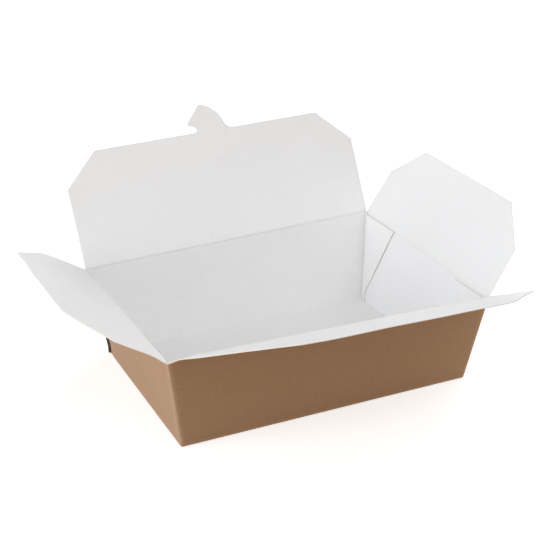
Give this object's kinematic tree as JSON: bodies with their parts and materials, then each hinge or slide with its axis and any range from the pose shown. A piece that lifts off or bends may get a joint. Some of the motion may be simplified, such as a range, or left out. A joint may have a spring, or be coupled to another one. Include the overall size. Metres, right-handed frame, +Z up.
{
  "type": "takeaway food box",
  "caption": "Folded board takeaway box, an open tapered tray with flaps on its rim and a lid whose hook locks into a slit.",
  "frame": {"origin": "centre of the base's underside, where the box stands", "axes": "+X along the box, +Y from the front flap to the back lid, +Z up out of the open rim"},
  "size_m": [0.2994, 0.2933, 0.151],
  "materials": {
    "kraft_board": "matte, white on the inner face"
  },
  "bodies": {
    "tray": {"tray": "kraft_board"},
    "back_lid": {"back_lid": "kraft_board"},
    "front_flap": {"front_flap": "kraft_board"},
    "left_flap": {"left_flap": "kraft_board"},
    "right_flap": {"right_flap": "kraft_board"}
  },
  "joints": [
    {"name": "back_lid_hinge", "type": "hinge", "parent": "tray", "child": "back_lid", "pos_m": [0, 0.082, 0.063], "axis": [0.9998, 0, 0.0222], "range_deg": [-102.5, 107]},
    {"name": "front_flap_hinge", "type": "hinge", "parent": "tray", "child": "front_flap", "pos_m": [0, -0.082, 0.063], "axis": [-0.9998, 0, 0.0222], "range_deg": [-62.4, 152.1]},
    {"name": "left_flap_hinge", "type": "hinge", "parent": "tray", "child": "left_flap", "pos_m": [-0.10788, 0, 0.0622], "axis": [0, 0.9996, -0.0293], "range_deg": [-91, 151]},
    {"name": "right_flap_hinge", "type": "hinge", "parent": "tray", "child": "right_flap", "pos_m": [0.10788, 0, 0.0622], "axis": [0, -0.9996, -0.0293], "range_deg": [-116, 126]}
  ]
}
